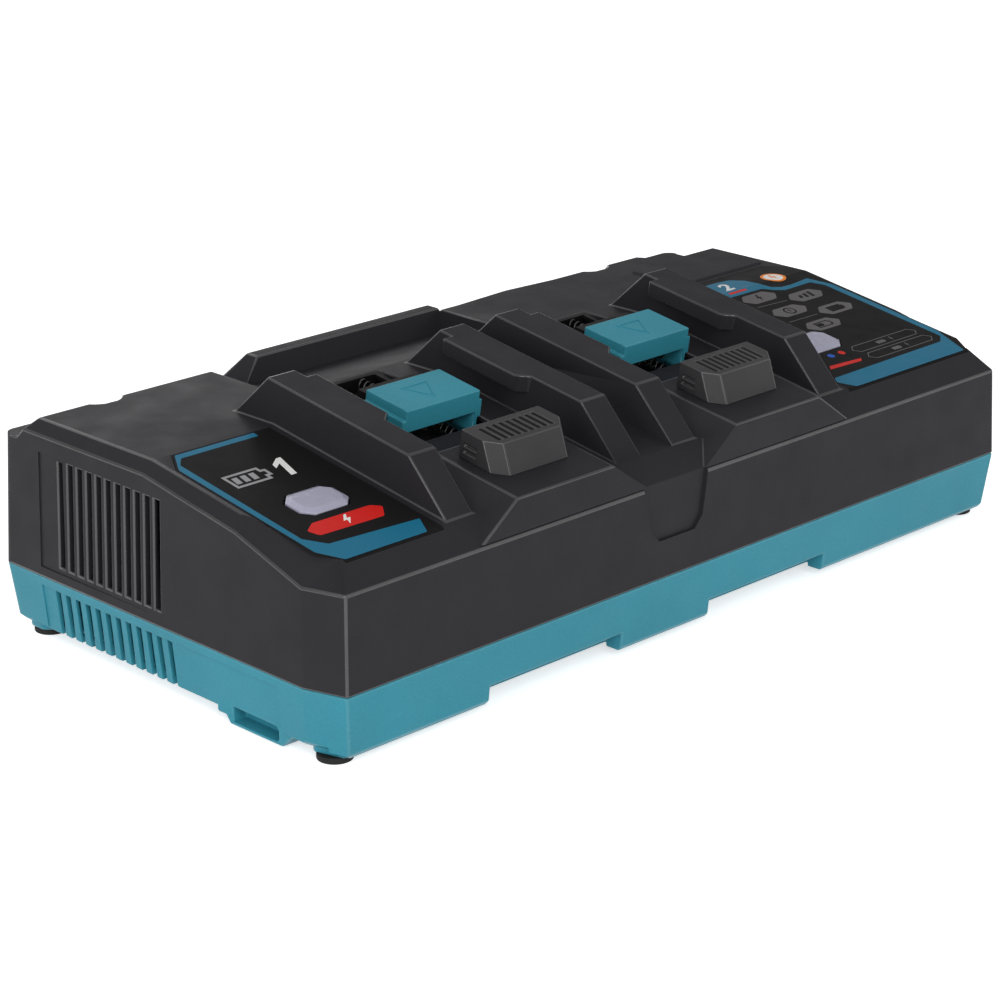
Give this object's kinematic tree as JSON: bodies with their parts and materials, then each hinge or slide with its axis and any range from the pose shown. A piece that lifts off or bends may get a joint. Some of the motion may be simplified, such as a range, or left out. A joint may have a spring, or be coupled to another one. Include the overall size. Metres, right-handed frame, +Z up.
{
  "type": "power tool battery charger",
  "caption": "Dual-bay charger for slide-on tool batteries: sloped black top with guide rails and sprung terminal covers on a teal base tray.",
  "frame": {"origin": "on the surface that it stands on, under the middle of its box", "axes": "+X along the long side towards the right bay, +Y to the back, +Z up"},
  "size_m": [0.372, 0.1884, 0.1043],
  "materials": {
    "black_abs": "fine moulded texture",
    "teal_abs": "satin moulded",
    "vent_abs": "moulded texture",
    "black_rubber": "matte",
    "zinc_steel": "zinc plated",
    "circuit_board": "solder mask",
    "ferrite": "ground ferrite",
    "winding_tape": "polyester tape",
    "capacitor_sleeve": "shrink sleeve",
    "copper_wire": "enamelled wire",
    "fuse_glass": "glass tube in clips",
    "label_film": "printed film",
    "lens_plastic": "frosted translucent",
    "black_nylon": "glass-filled nylon",
    "contact_brass": "tin-plated",
    "heat_sink_aluminium": "extruded"
  },
  "bodies": {
    "housing": {"upper_housing": "black_abs", "lower_housing": "teal_abs", "rubber_feet": "black_rubber", "housing_screws": "zinc_steel", "cord_bushing": "black_rubber", "main_circuit_board": "circuit_board", "transformer_core": "ferrite", "transformer_winding": "winding_tape", "filter_capacitors": "capacitor_sleeve", "line_filter_choke": "copper_wire", "line_fuse": "fuse_glass", "left_label_plate": "label_film", "left_indicator_lens": "lens_plastic", "left_indicator_board": "circuit_board", "left_air_vent": "vent_abs", "left_terminal_block": "black_nylon", "left_terminal_blades": "contact_brass", "left_cover_springs": "zinc_steel", "left_fan_frame": "black_nylon", "left_heat_sink": "heat_sink_aluminium", "right_label_plate": "label_film", "right_indicator_lens": "lens_plastic", "right_indicator_board": "circuit_board", "right_air_vent": "vent_abs", "right_terminal_block": "black_nylon", "right_terminal_blades": "contact_brass", "right_cover_springs": "zinc_steel", "right_fan_frame": "black_nylon", "right_heat_sink": "heat_sink_aluminium"},
    "left_terminal_cover": {"left_terminal_cover": "teal_abs"},
    "left_fan_rotor": {"left_fan_rotor": "black_nylon"},
    "right_terminal_cover": {"right_terminal_cover": "teal_abs"},
    "right_fan_rotor": {"right_fan_rotor": "black_nylon"}
  },
  "joints": [
    {"name": "left_cover_slide", "type": "slide", "parent": "housing", "child": "left_terminal_cover", "axis": [0, 0.988, 0.1547], "range_m": [0, 0.022], "stiffness_N_per_m": 120, "springref_m": -0.01, "deforming": ["left_cover_springs"]},
    {"name": "right_cover_slide", "type": "slide", "parent": "housing", "child": "right_terminal_cover", "axis": [0, 0.988, 0.1547], "range_m": [0, 0.022], "stiffness_N_per_m": 120, "springref_m": -0.01, "deforming": ["right_cover_springs"]},
    {"name": "left_fan_spin", "type": "hinge", "parent": "housing", "child": "left_fan_rotor", "pos_m": [-0.16761, 0.029, 0.049], "axis": [-1, 0, 0], "continuous": true},
    {"name": "right_fan_spin", "type": "hinge", "parent": "housing", "child": "right_fan_rotor", "pos_m": [0.16761, 0.029, 0.049], "axis": [1, 0, 0], "continuous": true}
  ]
}
